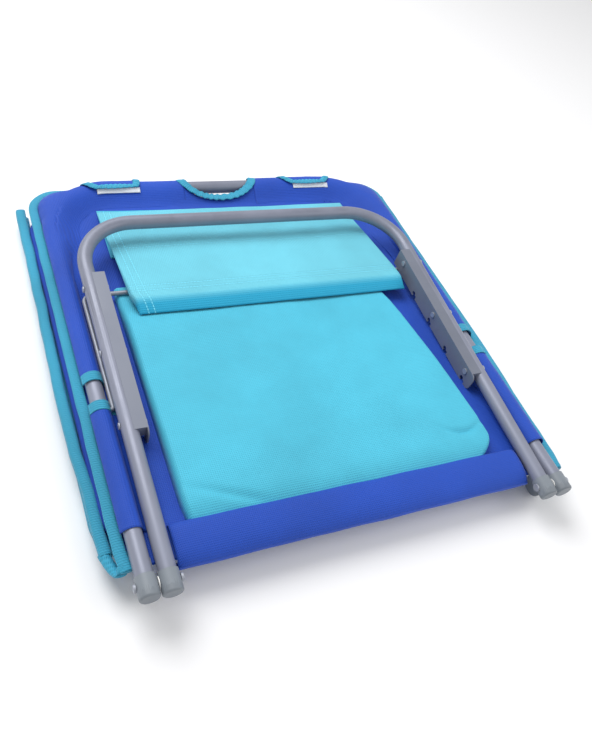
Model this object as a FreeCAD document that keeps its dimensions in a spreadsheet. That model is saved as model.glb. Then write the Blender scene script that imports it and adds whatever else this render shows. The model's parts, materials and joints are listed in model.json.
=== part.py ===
import FreeCAD, Part
import os

import Sketcher

# Folding beach lounger, stored folded flat with the back of its backrest up.
# X is to the right, Y runs from the hinge end to the carrying handle, Z is up.
# Every piece is drawn about the pivot axis and then moved by pivot_y and pivot_z,
# so the origin of the finished part is the middle of its footprint on the floor.

os.makedirs("parts", exist_ok=True)
doc = FreeCAD.newDocument("BeachLounger")
V = FreeCAD.Vector
X_AXIS = V(1, 0, 0)

SIZES = {
    # frame tubes
    "tube_radius": 9.5,
    "tube_bore": 8.3,
    "tube_start": 12.0,
    "back_half": 262.0,
    "back_reach": 612.5,
    "back_bend": 90.0,
    "stand_half": 239.0,
    "stand_reach": 498.0,
    "stand_bend": 76.0,
    "stand_tilt": 3.86,
    "pivot_y": -304.781,
    "pivot_z": 44.5,
    # end caps, feet and pivot hardware
    "cap_radius": 11.0,
    "cap_tail": 14.5,
    "cap_length": 24.0,
    "cap_round": 2.6,
    "foot_inner": 251.0,
    "foot_width": 11.0,
    "foot_depth": 27.0,
    "foot_front": 3.0,
    "foot_radius": 13.5,
    "screw_radius": 2.5,
    "screw_hole": 2.55,
    "screw_head": 4.5,
    "head_height": 2.4,
    "screw_inner": 228.0,
    "screw_outer": 273.0,
    "washer_radius": 6.5,
    "washer_inner": 250.05,
    "washer_thick": 0.9,
    # ratchet racks and rivets
    "rack_inner": 220.0,
    "rack_outer": 236.0,
    "rack_low": 162.0,
    "rack_high": 404.0,
    "rack_top": 9.2,
    "rack_bottom": 18.5,
    "rack_wall": 1.6,
    "notch_first": 181.0,
    "notch_pitch": 51.7,
    "notch_radius": 3.6,
    "notch_depth": 13.6,
    "rivet_first": 182.0,
    "rivet_pitch": 101.0,
    "rivet_radius": 2.4,
    "rivet_head": 4.0,
    "rivet_rise": 1.6,
    # support wire
    "wire_radius": 3.0,
    "wire_half": 247.5,
    "wire_pivot": 215.0,
    "wire_reach": 178.56,
    "wire_bend": 12.0,
    "wire_tilt": 1.444,
    "wire_pin": 2.5,
    "wire_pin_end": 257.0,
    # fabric sleeves on the backrest tube
    "sleeve_inner": 9.55,
    "sleeve_outer": 10.5,
    "tape_outer": 10.75,
    "sleeve_low": 60.0,
    "gap_low": 222.0,
    "gap_high": 252.0,
    "tape_width": 13.0,
    # backrest cloth and padding
    "panel_half": 250.0,
    "panel_low": 56.5,
    "panel_high": 600.0,
    "panel_floor": -9.5,
    "panel_thick": 2.0,
    "mat_half": 289.0,
    "mat_low": 32.0,
    "mat_high": 621.0,
    "mat_corner": 48.0,
    "mat_floor": -16.0,
    "mat_thick": 5.2,
    "binding": 12.0,
    "grip_middle": 2.0,
    "grip_half": 51.0,
    "grip_low": 589.0,
    "grip_corner": 40.0,
    "grip_binding": 13.0,
    # head-pillow tabs
    "tab_inner": 10.7,
    "tab_outer": 12.0,
    "tab_left": -208.0,
    "tab_right": 104.0,
    "tab_width": 85.0,
    "strip_left": -169.0,
    "strip_left_width": 43.0,
    "strip_right": 107.0,
    "strip_right_width": 62.0,
    # storage bag
    "bag_half": 205.0,
    "bag_low": 50.0,
    "bag_mouth": 408.0,
    "bag_floor": -7.3,
    "bag_top": 9.0,
    "bag_thin": 1.1,
    "bag_corner": 30.0,
    "hem_half": 197.0,
    "hem_low": 500.0,
    "hem_high": 568.0,
    "hem_thick": 1.8,
    "lid_half": 214.0,
    "lid_front": 365.0,
    "lid_tip": 346.0,
    "lid_back": 560.0,
    "lid_rise": 20.5,
    "lid_wall": 2.5,
    "lid_under": 8.6,
    "lid_seam": 1.5,
    # folded seat and leg sections
    "pad_half": 299.0,
    "pad_low": 48.0,
    "pad_high": 598.0,
    "seat_floor": -30.0,
    "seat_thick": 13.5,
    "leg_floor": -44.5,
    "leg_thick": 13.9,
    "knee_y": 600.0,
    "knee_z": -30.3,
    "knee_radius": 1.1,
    "knee_half": 280.0,
    "flap_half": 225.0,
    "flap_front": 11.5,
    "flap_top": 5.0,
}

sheet = doc.addObject("Spreadsheet::Sheet", "Sizes")
for row, (alias, number) in enumerate(SIZES.items(), start=1):
    sheet.set("A%d" % row, alias)
    sheet.set("B%d" % row, str(number))
    sheet.setAlias("B%d" % row, alias)
doc.recompute()


def size(alias):
    """The value of one sheet cell, for shapes that are worked out in code."""
    return float(sheet.get(alias))


def bind(obj, **properties):
    """Tie an object's properties to expressions in the sheet's aliases."""
    for name, text in properties.items():
        for alias in sorted(SIZES, key=len, reverse=True):
            text = replace_word(text, alias)
        obj.setExpression(name.replace("__", "."), text)


def replace_word(text, alias):
    """Point one alias inside an expression at the sheet."""
    words = []
    for word in text.split(" "):
        words.append("Sizes." + alias if word == alias else word)
    return " ".join(words)


def place(obj, tilt="", y="pivot_y", z="pivot_z"):
    """Put a finished piece in the frame of the whole lounger."""
    bind(obj, Placement__Base__y=y, Placement__Base__z=z)
    if tilt:
        obj.Placement.Rotation = FreeCAD.Rotation(X_AXIS, size(tilt))


def hide(*parts):
    for part in parts:
        part.Visibility = False


PIECES = []


def finish(obj, label, tilt="", y="pivot_y", z="pivot_z"):
    """Name a piece and add it to the list of those written out."""
    obj.Label = label
    place(obj, tilt, y, z)
    PIECES.append(obj)
    return obj


# ---------------------------------------------------------------- primitives


def rod_x(radius, start, length, y="0", z="0"):
    """A cylinder along X, from x = start."""
    rod = doc.addObject("Part::Cylinder", "Rod")
    rod.Placement.Rotation = FreeCAD.Rotation(V(0, 1, 0), 90)
    bind(rod, Radius=radius, Height=length, Placement__Base__x=start)
    bind(rod, Placement__Base__y=y, Placement__Base__z=z)
    return rod


def rod_y(radius, start, length, x="0"):
    """A cylinder along Y, from y = start."""
    rod = doc.addObject("Part::Cylinder", "RodY")
    rod.Placement.Rotation = FreeCAD.Rotation(X_AXIS, -90)
    bind(rod, Radius=radius, Height=length, Placement__Base__x=x)
    bind(rod, Placement__Base__y=start)
    return rod


def block(x, y, z, length, width, height):
    box = doc.addObject("Part::Box", "Block")
    bind(box, Length=length, Width=width, Height=height)
    bind(box, Placement__Base__x=x, Placement__Base__y=y, Placement__Base__z=z)
    return box


def cut(base, *tools):
    """Take each tool away from the base in turn."""
    for tool in tools:
        result = doc.addObject("Part::Cut", "Cut")
        result.Base = base
        result.Tool = tool
        hide(base, tool)
        base = result
    return base


def fuse(*shapes):
    result = doc.addObject("Part::MultiFuse", "Fuse")
    result.Shapes = list(shapes)
    hide(*shapes)
    return result


def group(*shapes):
    """Separate solids kept in one node."""
    result = doc.addObject("Part::Compound", "Group")
    result.Links = list(shapes)
    hide(*shapes)
    return result


def soften(base, radius, chosen):
    """Round the edges of a shape that pass the test."""
    doc.recompute()
    picked = [n for n, edge in enumerate(base.Shape.Edges, 1) if chosen(edge)]
    rounded = doc.addObject("Part::Fillet", "Rounded")
    rounded.Base = base
    rounded.Edges = [(n, radius, radius) for n in picked]
    hide(base)
    return rounded


# ------------------------------------------------------------------ sketches


def plane(body, role):
    for feature in body.Origin.OriginFeatures:
        if feature.Role == role:
            return feature


def sketch_on(body, role, lift=0.0):
    sketch = body.newObject("Sketcher::SketchObject", "Sketch")
    sketch.AttachmentSupport = [(plane(body, role), "")]
    sketch.MapMode = "FlatFace"
    sketch.AttachmentOffset = FreeCAD.Placement(V(0, 0, lift), FreeCAD.Rotation())
    return sketch


def dimension(sketch, text, kind, *refs):
    """A driving dimension of a sketch, bound to the sheet."""
    index = sketch.addConstraint(Sketcher.Constraint(kind, *refs, size_of(text)))
    bind(sketch, **{"Constraints[%d]" % index: text})


def size_of(text):
    """The present value of a simple sum of cells and numbers."""
    total = 0.0
    sign = 1.0
    for word in text.split(" "):
        if word == "+":
            sign = 1.0
        elif word == "-":
            sign = -1.0
        else:
            total += sign * (size(word) if word in SIZES else float(word))
    return total


def u_path(body, half, reach, bend, start):
    """An open U in the XY plane: two legs along Y and a bar across the far end."""
    w, r = size(half), size(bend)
    top, low = size(reach), -size_of(start)
    pi = 3.141592653589793
    path = sketch_on(body, "XY_Plane")
    left = path.addGeometry(Part.LineSegment(V(-w, low, 0), V(-w, top - r, 0)), False)
    turn = Part.Circle(V(r - w, top - r, 0), V(0, 0, 1), r)
    corner = path.addGeometry(Part.ArcOfCircle(turn, pi / 2, pi), False)
    bar = path.addGeometry(Part.LineSegment(V(r - w, top, 0), V(w - r, top, 0)), False)
    turn = Part.Circle(V(w - r, top - r, 0), V(0, 0, 1), r)
    other = path.addGeometry(Part.ArcOfCircle(turn, 0, pi / 2), False)
    right = path.addGeometry(Part.LineSegment(V(w, top - r, 0), V(w, low, 0)), False)
    path.addConstraint(Sketcher.Constraint("Tangent", left, 2, corner, 2))
    path.addConstraint(Sketcher.Constraint("Tangent", bar, 1, corner, 1))
    path.addConstraint(Sketcher.Constraint("Tangent", bar, 2, other, 2))
    path.addConstraint(Sketcher.Constraint("Tangent", right, 1, other, 1))
    path.addConstraint(Sketcher.Constraint("Vertical", left))
    path.addConstraint(Sketcher.Constraint("Horizontal", bar))
    path.addConstraint(Sketcher.Constraint("Equal", corner, other))
    dimension(path, bend, "Radius", corner)
    dimension(path, half, "DistanceX", left, 1, -1, 1)
    dimension(path, half, "DistanceX", -1, 1, right, 2)
    dimension(path, reach, "DistanceY", -1, 1, bar, 1)
    if low == 0:
        path.addConstraint(Sketcher.Constraint("PointOnObject", left, 1, -1))
        path.addConstraint(Sketcher.Constraint("PointOnObject", right, 2, -1))
    else:
        dimension(path, start, "DistanceY", left, 1, -1, 1)
        dimension(path, start, "DistanceY", right, 2, -1, 1)
    return path


def u_pipe(name, half, reach, bend, outer, inner="", start="0"):
    """A bent tube, or a bent rod when no bore is given."""
    body = doc.addObject("PartDesign::Body", name)
    path = u_path(body, half, reach, bend, start)
    ring = sketch_on(body, "XZ_Plane", size_of(start))
    for radius in [outer, inner] if inner else [outer]:
        circle = Part.Circle(V(-size(half), 0, 0), V(0, 0, 1), size(radius))
        index = ring.addGeometry(circle, False)
        dimension(ring, radius, "Radius", index)
        dimension(ring, half, "DistanceX", index, 3, -1, 1)
        ring.addConstraint(Sketcher.Constraint("PointOnObject", index, 3, -1))
    doc.recompute()
    pipe = body.newObject("PartDesign::AdditivePipe", "Bend")
    pipe.Profile = ring
    pipe.Spine = path
    pipe.Transition = "Transformed"
    hide(ring, path)
    doc.recompute()
    return body


def rectangle(sketch, half, low, high):
    """A rectangle that is symmetrical about the Y axis."""
    w, a, b = size_of(half), size_of(low), size_of(high)
    points = [V(-w, a, 0), V(w, a, 0), V(w, b, 0), V(-w, b, 0)]
    sides = []
    for n in range(4):
        line = Part.LineSegment(points[n], points[(n + 1) % 4])
        sides.append(sketch.addGeometry(line, False))
    for n in range(4):
        joint = (sides[n], 2, sides[(n + 1) % 4], 1)
        sketch.addConstraint(Sketcher.Constraint("Coincident", *joint))
        kind = "Horizontal" if n % 2 == 0 else "Vertical"
        sketch.addConstraint(Sketcher.Constraint(kind, sides[n]))
    dimension(sketch, half, "DistanceX", sides[0], 1, -1, 1)
    dimension(sketch, half, "DistanceX", -1, 1, sides[0], 2)
    dimension(sketch, low, "DistanceY", -1, 1, sides[0], 1)
    dimension(sketch, high, "DistanceY", -1, 1, sides[2], 1)


def upright(edge):
    """True for a straight edge along Z."""
    if len(edge.Vertexes) != 2:
        return False
    step = edge.Vertexes[1].Point - edge.Vertexes[0].Point
    return abs(step.z) > 0.5 and abs(step.x) + abs(step.y) < 1e-6


def sheet_body(name, half, low, high, thick, corner=0.0, floor=0.0, above=-1e6):
    """A flat padded or sewn layer. Its corners beyond y = above are rounded."""
    body = doc.addObject("PartDesign::Body", name)
    outline = sketch_on(body, "XY_Plane", floor)
    rectangle(outline, half, low, high)
    pad = body.newObject("PartDesign::Pad", "Layer")
    pad.Profile = outline
    bind(pad, Length=thick)
    hide(outline)
    doc.recompute()
    if corner:
        edges = enumerate(pad.Shape.Edges, 1)
        names = ["Edge%d" % n for n, edge in edges
                 if upright(edge) and edge.BoundBox.YMin > above]
        rounding = body.newObject("PartDesign::Fillet", "Corners")
        rounding.Base = (pad, names)
        rounding.Radius = corner
        doc.recompute()
    return body


def side_profile(name, half, points, corner=0.0):
    """A solid of one cross-section in the YZ plane, spanning X from -half to half."""
    body = doc.addObject("PartDesign::Body", name)
    outline = sketch_on(body, "YZ_Plane")
    count = len(points)
    for n, (y, z) in enumerate(points):
        next_y, next_z = points[(n + 1) % count]
        line = Part.LineSegment(V(y, z, 0), V(next_y, next_z, 0))
        outline.addGeometry(line, False)
    for n in range(count):
        joint = (n, 2, (n + 1) % count, 1)
        outline.addConstraint(Sketcher.Constraint("Coincident", *joint))
    pad = body.newObject("PartDesign::Pad", "Span")
    pad.Profile = outline
    pad.Midplane = True
    bind(pad, Length=half + " + " + half)
    hide(outline)
    doc.recompute()
    return body


def sides():
    """Left and right, as a name and a sign."""
    return (("left", -1), ("right", 1))


def at(sign, alias):
    """An expression for an X position on one side."""
    return alias if sign > 0 else "0 - " + alias


def span(sign, inner, outer):
    """Start of a stretch along X between two aliases on one side."""
    return inner if sign > 0 else "0 - " + outer


# ------------------------------------------------------------ backrest frame


def backrest_tube():
    tube = u_pipe("BackTube", "back_half", "back_reach", "back_bend",
                  "tube_radius", "tube_bore", "tube_start")
    screw = rod_x("screw_hole", "0 - 300", "600")
    pin = rod_x("wire_pin + 0.05", "0 - back_half", "back_half + back_half", "wire_pivot")
    finish(cut(tube, screw, pin), "backrest_tube")


def end_cap(sign, centre, label, tilt=""):
    """A moulded plug that closes one tube end and carries the pivot screw."""
    outer = rod_y("cap_radius", "0 - cap_tail", "cap_length", at(sign, centre))
    tail = -size("cap_tail")
    outer = soften(outer, size("cap_round"),
                   lambda edge: edge.BoundBox.YMax < tail + 0.01)
    socket = rod_y("tube_radius", "0 - tube_start", "cap_length", at(sign, centre))
    screw = rod_x("screw_hole", "0 - 300", "600")
    finish(cut(outer, socket, screw), label, tilt)


def foot(side, sign):
    """A rounded foot under the tube end that holds the hinge end off the floor."""
    start = "foot_inner" if sign > 0 else "0 - foot_inner - foot_width"
    middle = "foot_front + foot_radius"
    drop = "foot_radius - pivot_z"
    toe = rod_x("foot_radius", start, "foot_width", middle, drop)
    post = block(start, "foot_front", drop, "foot_width", "foot_depth",
                 "pivot_z - foot_radius - 4")
    cap = rod_y("cap_radius", "0 - cap_tail", "cap_length", at(sign, "back_half"))
    tube = rod_y("tube_radius + 0.02", "0", "60", at(sign, "back_half"))
    finish(cut(fuse(toe, post), cap, tube), "foot_" + side)


def pivot_screw(side, sign):
    shank = rod_x("screw_radius", span(sign, "screw_inner", "screw_outer"),
                  "screw_outer - screw_inner")
    head_start = "screw_inner - head_height" if sign > 0 else "0 - screw_inner"
    head = rod_x("screw_head", head_start, "head_height")
    finish(fuse(shank, head), "pivot_screw_" + side)


def pivot_nut(side, sign):
    start = "screw_outer" if sign > 0 else "0 - screw_outer - 2.2"
    finish(group(rod_x("screw_head - 0.3", start, "2.2")), "pivot_nut_" + side)


def pivot_washer(side, sign):
    start = "washer_inner" if sign > 0 else "0 - washer_inner - washer_thick"
    disc = rod_x("washer_radius", start, "washer_thick")
    hole = rod_x("screw_hole", "0 - 300", "600")
    finish(cut(disc, hole), "pivot_washer_" + side)


# --------------------------------------------------------------------- stand


def stand_tube():
    tube = u_pipe("StandTube", "stand_half", "stand_reach", "stand_bend",
                  "tube_radius", "tube_bore", "tube_start")
    holes = [rod_x("screw_hole", "0 - 300", "600")]
    for n in range(3):
        where = "rivet_first + %d * rivet_pitch" % n
        holes.append(rod_x("rivet_radius", "0 - 300", "600", where))
    finish(cut(tube, *holes), "stand_tube", "stand_tilt")


def rack(side, sign):
    """A channel with a flange on top and four hooked notches in its lower edge."""
    inner = span(sign, "rack_inner", "rack_outer")
    outer_web = "0 - rack_inner - rack_wall"
    web_start = "rack_inner" if sign > 0 else outer_web
    length = "rack_high - rack_low"
    depth = "rack_outer - rack_inner"
    web = block(web_start, "rack_low", "0 - rack_bottom",
                "rack_wall", length, "rack_top + rack_bottom")
    web = soften(web, 9.0, lambda edge: lower_web_end(edge))
    flange = block(inner, "rack_low + 9", "rack_top - rack_wall",
                   depth, length + " - 9", "rack_wall")
    end = block(inner, "rack_high - rack_wall", "0 - 8",
                depth, "rack_wall", "rack_top + 8")
    heel = block(inner, "rack_low + 8", "0 - 8", depth, "rack_wall", "rack_top + 8")
    tools = [rod_y("tube_radius + 0.02", "0", "600", at(sign, "stand_half"))]
    for n in range(4):
        where = "notch_first + %d * notch_pitch" % n
        tools.append(rod_x("notch_radius", "0 - 300", "600", where, "0 - notch_depth"))
        slot = block("0 - 300", where + " - 2 * notch_radius", "0 - rack_bottom - 3",
                     "600", "2 * notch_radius + 1", "rack_bottom - notch_depth + 3")
        tools.append(slot)
    for n in range(3):
        where = "rivet_first + %d * rivet_pitch" % n
        tools.append(rod_x("rivet_radius", "0 - 300", "600", where))
    finish(cut(fuse(web, flange, end, heel), *tools), "rack_" + side, "stand_tilt")


def lower_web_end(edge):
    """The two short edges across the web at its lower end."""
    box = edge.BoundBox
    at_end = abs(box.YMin - size("rack_low")) < 0.01 and abs(box.YMax - box.YMin) < 0.01
    return at_end and box.ZLength < 0.01


def rivets():
    """Six rivets that hold the racks to the stand tube."""
    parts = []
    for name, sign in sides():
        for n in range(3):
            where = "rivet_first + %d * rivet_pitch" % n
            stem_length = "stand_half + tube_radius - rack_inner"
            stem_outer = "stand_half + tube_radius"
            stem = rod_x("rivet_radius", stem_side(sign), stem_length, where)
            low = "rack_inner - rivet_rise" if sign > 0 else "0 - rack_inner"
            high = stem_outer if sign > 0 else "0 - " + stem_outer.replace("+", "-") \
                + " - rivet_rise"
            inner_head = rod_x("rivet_head", low, "rivet_rise", where)
            outer_head = rod_x("rivet_head", high, "rivet_rise", where)
            parts.append(fuse(stem, inner_head, outer_head))
    finish(group(*parts), "rack_rivets", "stand_tilt")


def stem_side(sign):
    return "rack_inner" if sign > 0 else "0 - stand_half - tube_radius"


def support_wire():
    """The wire that props the stand: it turns in the backrest tube."""
    wire = u_pipe("Wire", "wire_half", "wire_reach", "wire_bend", "wire_radius")
    pins = []
    for name, sign in sides():
        start = "wire_half" if sign > 0 else "0 - wire_pin_end"
        pins.append(rod_x("wire_pin", start, "wire_pin_end - wire_half"))
    shape = fuse(wire, *pins)
    finish(shape, "support_wire", "wire_tilt", "pivot_y + wire_pivot")


# -------------------------------------------------------------- backrest cloth


def sleeve_ring(label, sign, low, high, outer):
    """A straight stretch of cloth around one leg of the backrest tube."""
    length = high + " - ( " + low + " )"
    skin = rod_y(outer, low, length, at(sign, "back_half"))
    bore = rod_y("sleeve_inner", low + " - 1", length + " + 2", at(sign, "back_half"))
    notch = rod_x("wire_radius + 1.2", "0 - back_half", "back_half + back_half",
                  "wire_pivot")
    finish(cut(skin, bore, notch), label)


def sleeves():
    for side, sign in sides():
        sleeve_ring("sleeve_low_" + side, sign, "sleeve_low",
                    "gap_low - tape_width", "sleeve_outer")
        sleeve_ring("tape_low_" + side, sign, "gap_low - tape_width",
                    "gap_low", "tape_outer")
        sleeve_ring("tape_high_" + side, sign, "gap_high",
                    "gap_high + tape_width", "tape_outer")
        sleeve_top(side, sign)


def sleeve_top(side, sign):
    """The sleeve from the gap, round the corner, to the carrying handle."""
    skin = u_pipe("Sleeve", "back_half", "back_reach", "back_bend",
                  "sleeve_outer", "sleeve_inner", "tube_start")
    legs = block("0 - 400", "0 - 50", "0 - 50", "800",
                 "gap_high + tape_width + 50", "100")
    away = "grip_middle - grip_half - 10"
    if sign > 0:
        other = block("0 - 400", "0", "0 - 50", "400 + grip_middle + grip_half + 10",
                      "700", "100")
    else:
        other = block(away, "0", "0 - 50", "500", "700", "100")
    finish(cut(skin, legs, other), "sleeve_top_" + side)


def grip_cut(grow, name):
    """The U-shaped opening at the top edge that bares the tube as a handle."""
    half = size("grip_half") + grow
    low = size("grip_low") - grow
    corner = size("grip_corner") + grow
    body = doc.addObject("Part::Box", name)
    bind(body, Length="2 * grip_half + %g" % (2 * grow), Width="200", Height="60")
    bind(body, Placement__Base__x="grip_middle - grip_half - %g" % grow)
    bind(body, Placement__Base__y="grip_low - %g" % grow, Placement__Base__z="0 - 40")
    return soften(body, min(corner, half - 1.0),
                  lambda edge: upright(edge) and edge.BoundBox.YMax < low + 0.01)


def back_panel():
    panel = sheet_body("Panel", "panel_half", "panel_low", "panel_high",
                       "panel_thick", size("back_bend") - 12, size("panel_floor"),
                       size("panel_high") - 1)
    notch = grip_cut(size("grip_binding"), "PanelNotch")
    finish(cut(panel, notch), "back_panel")


def front_pad():
    pad = sheet_body("FrontPad", "mat_half - binding", "mat_low", "mat_high - binding",
                     "mat_thick", size("mat_corner") - size("binding"),
                     size("mat_floor"))
    notch = grip_cut(size("grip_binding"), "PadNotch")
    finish(cut(pad, notch), "front_pad")


def frame_strip(name, label, half, low, high, thick, corner, floor, notch=None):
    """The bound edge of a mat section: its outline less the padded middle."""
    whole = sheet_body(name, half, low, high, thick, size(corner), floor)
    inner = sheet_body(name + "Inner", half + " - binding", low + " + 0.001",
                       high + " - binding", thick, size(corner) - size("binding"), floor)
    tools = [inner]
    if notch:
        tools.append(notch)
    finish(cut(whole, *tools), label)


def mat_binding():
    notch = grip_cut(size("grip_binding"), "EdgeNotch")
    frame_strip("Edge", "mat_binding", "mat_half", "mat_low", "mat_high",
                "mat_thick", "mat_corner", size("mat_floor"), notch)


def handle_binding():
    """The bound edge of the handle opening, through panel and padding."""
    outer = grip_cut(size("grip_binding"), "GripOuter")
    inner = grip_cut(0.0, "GripInner")
    slab = block("0 - 200", "400", "mat_floor", "400", "mat_high - 400",
                 "0 - mat_floor + panel_floor + panel_thick")
    both = doc.addObject("Part::Common", "GripBand")
    both.Base = slab
    both.Tool = outer
    hide(slab, outer)
    bar = rod_x("sleeve_outer + 0.2", "0 - 200", "400", "back_reach")
    finish(cut(both, inner, bar), "handle_binding")


def pillow_tab(side, start, strip_start, strip_width):
    """A strap folded over the top bar, with its hook strip below the edge."""
    shell = u_pipe("Tab", "back_half", "back_reach", "back_bend",
                   "tab_outer", "tab_inner", "tube_start")
    window = block(start, "back_reach - 50", "0", "tab_width", "100", "50")
    strap = doc.addObject("Part::Common", "Strap")
    strap.Base = shell
    strap.Tool = window
    hide(shell, window)
    finish(strap, "pillow_tab_" + side)
    strip = block(strip_start, "back_reach - tab_outer - 1", "3", strip_width, "1", "4.5")
    finish(group(strip), "hook_strip_" + side)


def hinge_flap():
    """The strip of cloth that joins the backrest to the seat, bulging at the fold."""
    front, top = size("flap_front"), size("flap_top")
    low = size("panel_low")
    points = [(low, -9.3), (low, top - 1), (low - 16, top), (front + 12, top - 1.5),
              (front + 3, -2), (front, -8), (front + 2, -14), (front + 7, -16),
              (front + 14, -15.5), (front + 19, -9.3)]
    finish(side_profile("Flap", "flap_half", points), "hinge_flap")


# ----------------------------------------------------------------- storage bag


def bag_body():
    floor, top, thin = size("bag_floor"), size("bag_top"), size("bag_thin")
    low, mouth = size("bag_low") + 7.5, size("bag_mouth")
    points = [(low, floor), (low, floor + 4), (low + 24, top - 4), (low + 90, top),
              (mouth - 90, top - 1), (mouth - 40, thin + 2), (mouth - 28, thin),
              (mouth, thin), (mouth, floor)]
    bag = side_profile("Bag", "bag_half", points)
    slab = block("0 - bag_half", "bag_low + 7.5", "0 - 20", "bag_half + bag_half", "500", "60")
    low = size("bag_low") + 8
    outline = soften(slab, size("bag_corner"),
                     lambda edge: upright(edge) and edge.BoundBox.YMax < low)
    both = doc.addObject("Part::Common", "BagShape")
    both.Base = bag
    both.Tool = outline
    hide(bag, outline)
    finish(both, "bag_body")


def bag_hem():
    hem = sheet_body("Hem", "hem_half", "hem_low", "hem_high", "hem_thick",
                     6.0, size("bag_floor"))
    finish(hem, "bag_hem")


def bag_lid():
    """The boxed lid of the bag: a sloping top, a front lip and two side gussets."""
    front, tip, back = size("lid_front"), size("lid_tip"), size("lid_back")
    rise, wall, under = size("lid_rise"), size("lid_wall"), size("lid_under")
    seam = size("lid_seam")
    top = [(back, seam + wall / 2), (front, rise), (tip, under + 3), (tip, under),
           (tip + 2.5, under), (front + 1, rise - wall), (back, seam - wall / 2)]
    roof = side_profile("Roof", "lid_half", top)
    hem = rod_x("lid_wall / 2", "0 - lid_half", "lid_half + lid_half", "lid_back", "lid_seam")
    gusset = [(back - 84, 9.9), (front + 0.5, rise - 1), (tip + 1, under + 2),
              (tip + 1, under), (front + 90, under)]
    parts = [roof, hem]
    for name, sign in sides():
        wall_solid = side_profile("Gusset", "lid_wall", gusset)
        bind(wall_solid, Placement__Base__x=at(sign, "lid_half") +
             (" - lid_wall" if sign > 0 else " + lid_wall"))
        parts.append(wall_solid)
    finish(fuse(*parts), "bag_lid")


# ------------------------------------------------------- seat and leg sections


def mat_section(name, floor, thick):
    inner = sheet_body(name + "Pad", "pad_half - binding", "pad_low + binding",
                       "pad_high - binding", thick, 36.0, size(floor))
    finish(inner, name + "_pad")
    whole = sheet_body(name + "Edge", "pad_half", "pad_low", "pad_high", thick,
                       size("mat_corner"), size(floor))
    middle = sheet_body(name + "Middle", "pad_half - binding", "pad_low + binding",
                        "pad_high - binding", thick, 36.0, size(floor))
    finish(cut(whole, middle), name + "_binding")


def knee_fold():
    """The cloth hinge between the seat and leg sections."""
    roll = rod_x("knee_radius", "0 - knee_half", "knee_half + knee_half",
                 "knee_y", "knee_z")
    finish(group(roll), "knee_fold")


backrest_tube()
stand_tube()
for side, sign in sides():
    end_cap(sign, "back_half", "backrest_cap_" + side)
    end_cap(sign, "stand_half", "stand_cap_" + side, "stand_tilt")
    foot(side, sign)
    pivot_screw(side, sign)
    pivot_nut(side, sign)
    pivot_washer(side, sign)
    rack(side, sign)
rivets()
support_wire()
sleeves()
back_panel()
front_pad()
mat_binding()
handle_binding()
pillow_tab("left", "tab_left", "strip_left", "strip_left_width")
pillow_tab("right", "tab_right", "strip_right", "strip_right_width")
hinge_flap()
bag_body()
bag_hem()
bag_lid()
mat_section("seat", "seat_floor", "seat_thick")
mat_section("leg", "leg_floor", "leg_thick")
knee_fold()

doc.recompute()

faults = []
for obj in doc.Objects:
    if "Invalid" in obj.State or "Error" in obj.State:
        faults.append(obj.Name)
for piece in PIECES:
    shape = piece.Shape
    if shape.isNull() or not shape.isValid() or not shape.Solids:
        faults.append(piece.Label)
if faults:
    raise RuntimeError("faulty objects: " + ", ".join(faults))

for piece in PIECES:
    piece.Shape.exportStep("parts/%s.step" % piece.Label)
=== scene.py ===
import json
import math

import bmesh
import bpy
from mathutils import Matrix, Vector, noise


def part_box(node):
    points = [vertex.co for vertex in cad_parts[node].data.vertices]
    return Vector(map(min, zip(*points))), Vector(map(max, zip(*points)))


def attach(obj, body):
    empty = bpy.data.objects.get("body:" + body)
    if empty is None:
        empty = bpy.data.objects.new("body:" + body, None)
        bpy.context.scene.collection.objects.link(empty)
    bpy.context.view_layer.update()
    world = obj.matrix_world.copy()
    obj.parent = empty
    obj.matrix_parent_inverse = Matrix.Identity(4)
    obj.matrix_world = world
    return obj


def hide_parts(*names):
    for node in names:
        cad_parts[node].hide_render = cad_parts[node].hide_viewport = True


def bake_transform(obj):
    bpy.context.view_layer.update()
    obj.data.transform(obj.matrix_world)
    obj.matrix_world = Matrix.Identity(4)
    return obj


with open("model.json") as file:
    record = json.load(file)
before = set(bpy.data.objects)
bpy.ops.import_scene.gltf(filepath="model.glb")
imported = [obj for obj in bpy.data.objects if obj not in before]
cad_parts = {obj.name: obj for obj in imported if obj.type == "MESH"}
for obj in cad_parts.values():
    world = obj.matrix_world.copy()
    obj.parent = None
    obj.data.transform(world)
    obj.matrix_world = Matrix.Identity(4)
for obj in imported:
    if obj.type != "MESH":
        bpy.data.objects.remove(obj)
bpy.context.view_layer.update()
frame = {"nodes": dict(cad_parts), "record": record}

# Lengths below are in millimetres from the middle of the pivot axis: X right,
# Y from the hinge end to the handle, Z up. at() turns them into the row frame.
screw_low, screw_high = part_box("pivot_screw_left")
PIVOT_Y = (screw_low[1] + screw_high[1]) / 2
PIVOT_Z = (screw_low[2] + screw_high[2]) / 2


def at(x, y, z):
    """A place in millimetres from the pivot axis, in the row frame's metres."""
    return Vector((x / 1000, PIVOT_Y + y / 1000, PIVOT_Z + z / 1000))


# ------------------------------------------------------------------ materials


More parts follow.
